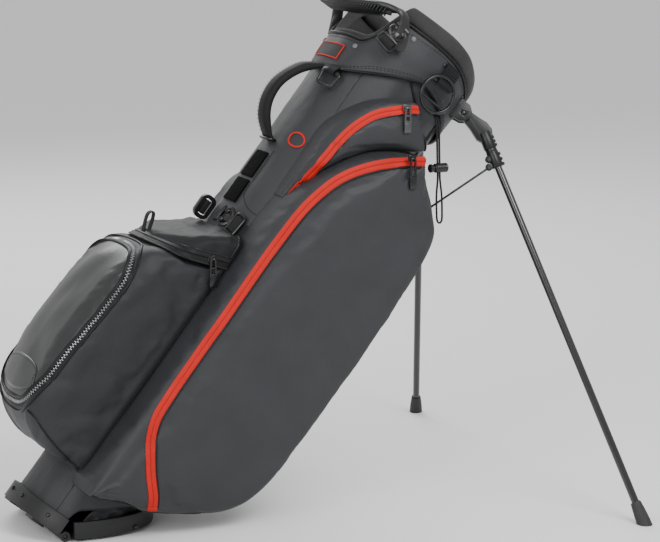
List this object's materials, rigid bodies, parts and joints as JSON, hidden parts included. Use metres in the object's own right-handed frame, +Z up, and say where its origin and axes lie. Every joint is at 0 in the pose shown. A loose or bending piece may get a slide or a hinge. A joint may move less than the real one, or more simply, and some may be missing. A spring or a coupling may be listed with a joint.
{
  "type": "golf stand bag",
  "caption": "Golf stand bag with padded divided cuff, zipped pockets, flexing base and two folding legs driven by a push rod.",
  "frame": {"origin": "middle of the standing bag's footprint box, on the ground", "axes": "+X from the base toward the legs, +Y away from the apparel pocket side, +Z up"},
  "size_m": [0.8394, 0.745, 0.7343],
  "materials": {
    "charcoal_fabric": "matt woven polyester",
    "black_webbing": "ribbed webbing",
    "divider_fabric": "brushed",
    "padded_mesh": "spacer mesh",
    "leather_panel": "satin grain",
    "red_zip": "coated zip tape",
    "black_zip": "zip tape with teeth",
    "moulded_plastic": "satin moulded",
    "leg_tube": "gloss black anodised",
    "rubber_foot": "matt",
    "steel": "dark steel",
    "stay_fibreglass": "fibreglass rod",
    "zip_pull": "satin"
  },
  "bodies": {
    "bag": {"tube_leg_panel": "charcoal_fabric", "tube_far_panel": "charcoal_fabric", "tube_rear_panel": "charcoal_fabric", "tube_near_panel": "charcoal_fabric", "stay_rod_near": "stay_fibreglass", "stay_rod_far": "stay_fibreglass", "divider_long": "divider_fabric", "divider_near": "divider_fabric", "divider_far": "divider_fabric", "top_frame": "moulded_plastic", "rim_pad": "padded_mesh", "cuff_collar": "charcoal_fabric", "lift_handle": "moulded_plastic", "cuff_buckle": "moulded_plastic", "base_cup": "moulded_plastic", "base_hinge_pin": "steel", "base_gusset": "charcoal_fabric", "apparel_pocket": "charcoal_fabric", "valuables_pocket": "charcoal_fabric", "accessory_pocket_far": "charcoal_fabric", "ball_pocket": "charcoal_fabric", "ball_pocket_panel": "leather_panel", "ball_zip": "black_zip", "hood_pocket": "charcoal_fabric", "hood_zip": "black_zip", "apparel_zip": "red_zip", "valuables_zip": "red_zip", "carry_handle": "black_webbing", "hook_pad_upper": "black_webbing", "hook_pad_lower": "black_webbing", "spine_strap_loop": "black_webbing", "spine_buckle": "moulded_plastic", "towel_ring_tab": "black_webbing", "leg_bracket_near": "moulded_plastic", "leg_bracket_far": "moulded_plastic", "leg_pin_near": "steel", "leg_pin_far": "steel", "actuator_guide_upper": "black_webbing", "actuator_guide_lower": "black_webbing", "cord_loop": "black_webbing"},
    "leg_near": {"elbow_near": "moulded_plastic", "leg_tube_near": "leg_tube", "wire_clamp_near": "moulded_plastic", "foot_near": "rubber_foot"},
    "leg_far": {"elbow_far": "moulded_plastic", "leg_tube_far": "leg_tube", "wire_clamp_far": "moulded_plastic", "foot_far": "rubber_foot"},
    "base_plate": {"base_plate": "moulded_plastic"},
    "actuator_rod": {"actuator_rod": "moulded_plastic"},
    "actuator_link": {"actuator_link": "steel"},
    "wire_near": {"wire_near": "steel"},
    "wire_far": {"wire_far": "steel"},
    "valuables_pull": {"valuables_pull": "zip_pull"},
    "apparel_pull": {"apparel_pull": "zip_pull"},
    "hood_pull": {"hood_pull": "zip_pull"},
    "towel_ring": {"towel_ring": "moulded_plastic"},
    "strap_ring": {"strap_ring": "moulded_plastic"},
    "cord_lock": {"cord_lock": "moulded_plastic"},
    "cord_lock_plunger": {"cord_lock_plunger": "moulded_plastic"}
  },
  "joints": [
    {"name": "leg_fold_near", "type": "hinge", "parent": "bag", "child": "leg_near", "pos_m": [0.25695, -0.08, 0.56304], "axis": [0.3984, 0.8599, -0.3192], "range_deg": [0, 56.1]},
    {"name": "leg_fold_far", "type": "hinge", "parent": "bag", "child": "leg_far", "pos_m": [0.25695, 0.08, 0.56304], "axis": [-0.3984, 0.8599, 0.3192], "range_deg": [0, 56.1]},
    {"name": "base_flex", "type": "hinge", "parent": "bag", "child": "base_plate", "pos_m": [-0.36813, 0, 0.008], "axis": [0, 1, 0], "range_deg": [0, 38.7]},
    {"name": "rod_slide", "type": "slide", "parent": "bag", "child": "actuator_rod", "axis": [-0.6252, 0, -0.7804], "range_m": [0, 0.0604]},
    {"name": "link_swing", "type": "hinge", "parent": "base_plate", "child": "actuator_link", "pos_m": [-0.21813, 0, 0.0335], "axis": [0, -1, 0], "range_deg": [0, 94.46]},
    {"name": "wire_swing_near", "type": "hinge", "parent": "leg_near", "child": "wire_near", "pos_m": [0.27949, -0.11843, 0.48766], "axis": [-0.5178, -0.8551, 0.0255], "range_deg": [0, 70.61]},
    {"name": "wire_swing_far", "type": "hinge", "parent": "leg_far", "child": "wire_far", "pos_m": [0.27949, 0.11843, 0.48766], "axis": [0.5178, -0.8551, -0.0255], "range_deg": [0, 70.61]},
    {"name": "valuables_pull_swing", "type": "hinge", "parent": "bag", "child": "valuables_pull", "pos_m": [0.14593, -0.1215, 0.5828], "axis": [-1, 0, 0], "range_deg": [0, 80]},
    {"name": "apparel_pull_swing", "type": "hinge", "parent": "bag", "child": "apparel_pull", "pos_m": [0.14291, -0.1455, 0.51346], "axis": [-1, 0, 0], "range_deg": [0, 80]},
    {"name": "hood_pull_swing", "type": "hinge", "parent": "bag", "child": "hood_pull", "pos_m": [-0.14501, -0.0975, 0.38279], "axis": [-1, 0, 0], "range_deg": [0, 80]},
    {"name": "towel_ring_swing", "type": "hinge", "parent": "bag", "child": "towel_ring", "pos_m": [0.2156, -0.1107, 0.61859], "axis": [-0.7804, 0, 0.6252], "range_deg": [0, 100]},
    {"name": "strap_ring_swing", "type": "hinge", "parent": "bag", "child": "strap_ring", "pos_m": [0.0628, -0.046, 0.63018], "axis": [-0.2797, 0.9336, 0.2241], "range_deg": [0, 70]},
    {"name": "cord_lock_slide", "type": "slide", "parent": "bag", "child": "cord_lock", "axis": [0, 0.0523, 0.9986], "range_m": [-0.004, 0.04]},
    {"name": "plunger_press", "type": "slide", "parent": "cord_lock", "child": "cord_lock_plunger", "axis": [1, 0, 0], "range_m": [0, 0.003], "stiffness_N_per_m": 400, "springref_m": -0.002}
  ],
  "couplings": [
    {"joint": "leg_fold_far", "follows": "leg_fold_near", "ratio": 1},
    {"joint": "base_flex", "follows": "leg_fold_near", "ratio": 0.68984},
    {"joint": "rod_slide", "follows": "leg_fold_near", "m_per_rad": 0.061681},
    {"joint": "link_swing", "follows": "leg_fold_near", "ratio": 1.6837},
    {"joint": "wire_swing_near", "follows": "leg_fold_near", "ratio": 1.2586},
    {"joint": "wire_swing_far", "follows": "leg_fold_near", "ratio": 1.2586}
  ]
}
